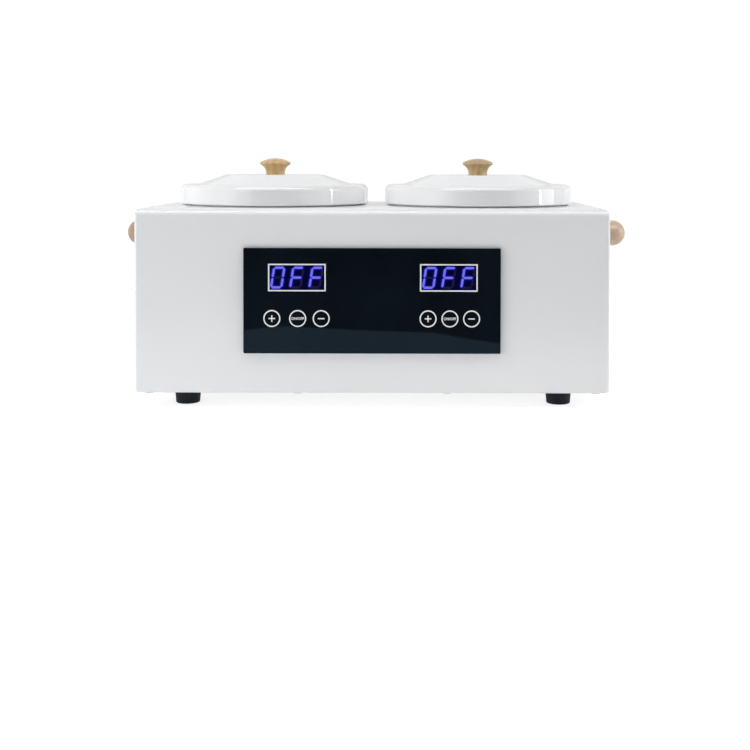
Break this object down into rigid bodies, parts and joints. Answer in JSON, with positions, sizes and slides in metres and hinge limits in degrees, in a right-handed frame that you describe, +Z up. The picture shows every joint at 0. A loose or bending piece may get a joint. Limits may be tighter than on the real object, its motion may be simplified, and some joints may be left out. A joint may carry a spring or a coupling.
{
  "type": "wax warmer",
  "caption": "Double wax warmer: white sheet-steel box with lift-out pots, domed lids with wooden knobs, a black touch panel with digit displays, side grips and rubber feet.",
  "frame": {"origin": "on the surface it stands on, below the middle of the box", "axes": "+Z up, -Y towards the user (the panel's side), +X to the user's right"},
  "size_m": [0.3588, 0.1649, 0.1641],
  "materials": {
    "white_coat": "smooth gloss powder coat",
    "lid_coat": "smooth gloss enamel",
    "wood": "turned light wood, satin lacquer",
    "panel_black": "black gloss",
    "foil": "adhesive foil",
    "lamp_face": "moulded, matt",
    "light_bar": "translucent light bars",
    "key_foam": "conductive foam",
    "circuit_board": "glass-fibre board",
    "chip_black": "moulded",
    "brass": "plain",
    "zinc_screws": "zinc plated",
    "spring_steel": "plain sheet steel",
    "aluminium": "spun, satin",
    "collar_plastic": "heat-proof moulding",
    "insulation_felt": "glass-fibre felt",
    "foot_rubber": "moulded, matt",
    "inlet_black": "moulded",
    "rocker_black": "moulded, semi-gloss",
    "core_steel": "laminated core",
    "winding_tape": "insulating tape",
    "fuse_glass": "clear tube"
  },
  "bodies": {
    "housing": {"band_bolt_left": "zinc_screws", "band_bolt_right": "zinc_screws", "base_plate": "white_coat", "base_plate_screws": "zinc_screws", "board_studs": "brass", "collar_left": "collar_plastic", "collar_right": "collar_plastic", "control_board": "circuit_board", "control_board_screws": "zinc_screws", "control_chips": "chip_black", "control_panel": "panel_black", "display_left": "lamp_face", "display_right": "lamp_face", "foot_screws": "zinc_screws", "fuse": "fuse_glass", "fuse_clips": "brass", "heater_band_left": "spring_steel", "heater_band_right": "spring_steel", "housing_shell": "white_coat", "inlet_pins": "brass", "inlet_screws": "zinc_screws", "inlet_socket": "inlet_black", "insulation_left": "insulation_felt", "insulation_right": "insulation_felt", "key_pads_left": "key_foam", "key_pads_right": "key_foam", "light_bars_left": "light_bar", "light_bars_right": "light_bar", "panel_foil": "foil", "power_board": "circuit_board", "power_board_screws": "zinc_screws", "power_board_stands": "brass", "relays": "chip_black", "rubber_feet": "foot_rubber", "side_grip_left": "wood", "side_grip_right": "wood", "side_grip_screw_left": "zinc_screws", "side_grip_screw_right": "zinc_screws", "snap_ring_left": "spring_steel", "snap_ring_right": "spring_steel", "switch_frame": "inlet_black", "terminal_block": "chip_black", "thermostat_left": "aluminium", "thermostat_right": "aluminium", "transformer_core": "core_steel", "transformer_winding": "winding_tape", "well_left": "aluminium", "well_right": "aluminium"},
    "pot_left": {"pot_left": "aluminium"},
    "lid_left": {"lid_left": "lid_coat", "lid_knob_left": "wood", "lid_knob_screw_left": "zinc_screws"},
    "pot_right": {"pot_right": "aluminium"},
    "lid_right": {"lid_right": "lid_coat", "lid_knob_right": "wood", "lid_knob_screw_right": "zinc_screws"},
    "switch_rocker": {"switch_rocker": "rocker_black"}
  },
  "joints": [
    {"name": "pot_left_lift", "type": "slide", "parent": "housing", "child": "pot_left", "axis": [0, 0, 1], "range_m": [0, 0.12]},
    {"name": "lid_left_lift", "type": "slide", "parent": "pot_left", "child": "lid_left", "axis": [0, 0, 1], "range_m": [0, 0.06]},
    {"name": "pot_right_lift", "type": "slide", "parent": "housing", "child": "pot_right", "axis": [0, 0, 1], "range_m": [0, 0.12]},
    {"name": "lid_right_lift", "type": "slide", "parent": "pot_right", "child": "lid_right", "axis": [0, 0, 1], "range_m": [0, 0.06]},
    {"name": "main_switch_rock", "type": "hinge", "parent": "housing", "child": "switch_rocker", "pos_m": [0.052, 0.0777, 0.033], "axis": [0, 0, 1], "range_deg": [0, 14]}
  ]
}
